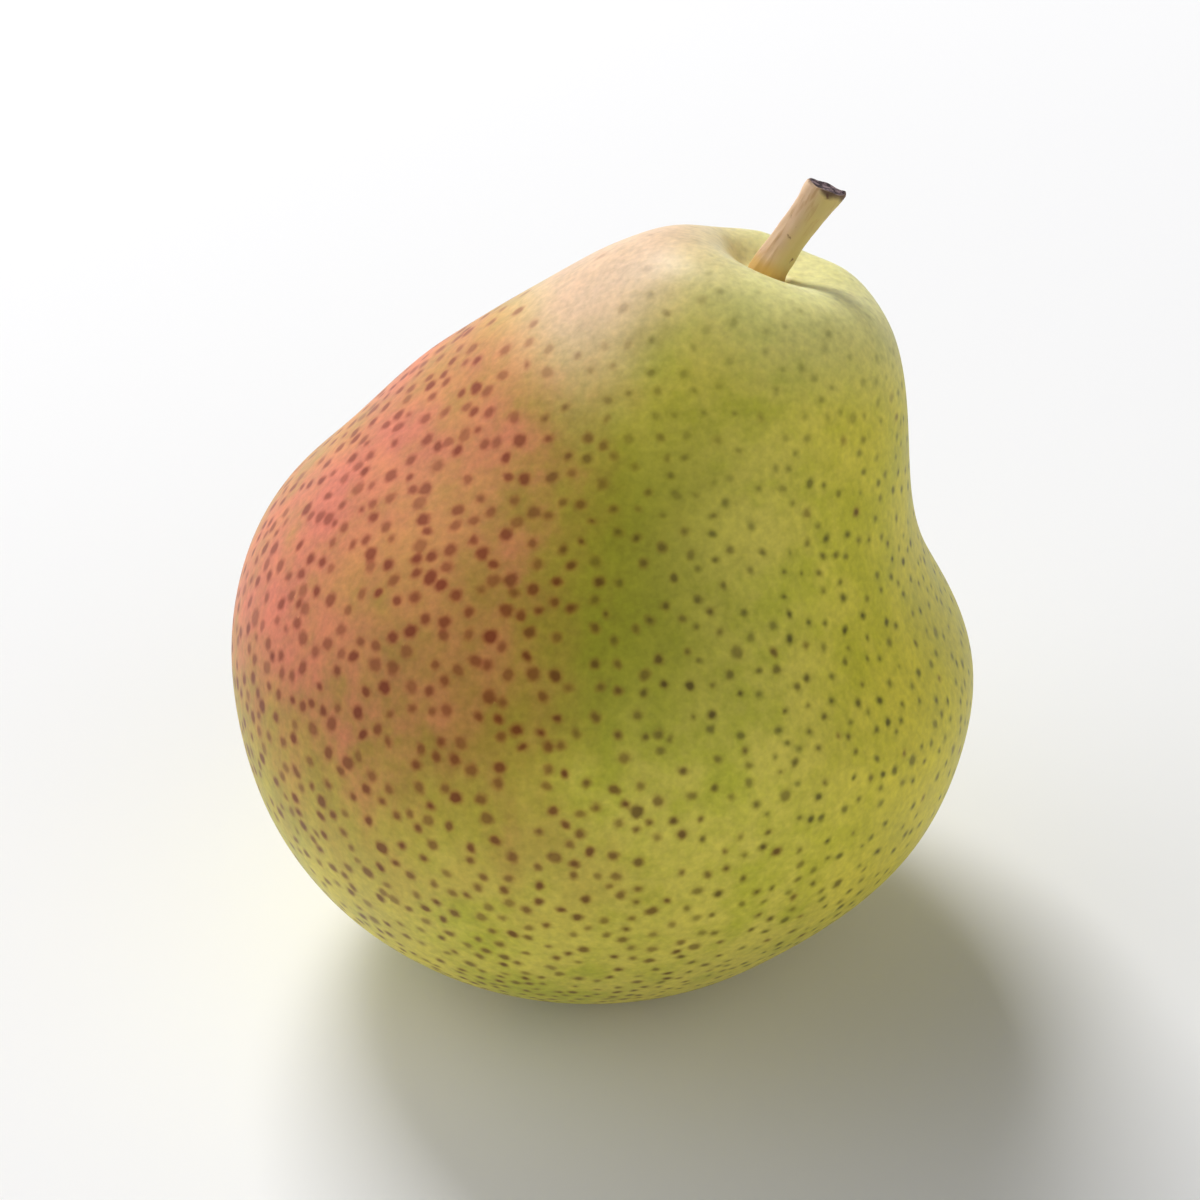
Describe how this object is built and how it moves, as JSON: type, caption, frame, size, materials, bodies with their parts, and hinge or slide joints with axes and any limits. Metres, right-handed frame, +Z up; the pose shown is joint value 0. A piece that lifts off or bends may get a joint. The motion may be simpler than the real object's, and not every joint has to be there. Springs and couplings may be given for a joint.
{
  "type": "pear",
  "caption": "Whole speckled dessert pear, green with a coral blush, tilted on a small flat spot, with a short woody stem and a dried calyx in its basin.",
  "frame": {"origin": "on the resting surface, below the middle of the bounding box", "axes": "+Z up from the surface it rests on, +X towards the side its neck and stem lean to, -Y the side that faces the viewer"},
  "size_m": [0.0704, 0.0704, 0.0764],
  "materials": {
    "skin": "waxy satin, speckled",
    "stem_wood": "matt",
    "dried_calyx": "matt"
  },
  "bodies": {
    "root": {"fruit": "skin", "stem": "stem_wood", "calyx": "dried_calyx"}
  },
  "joints": []
}
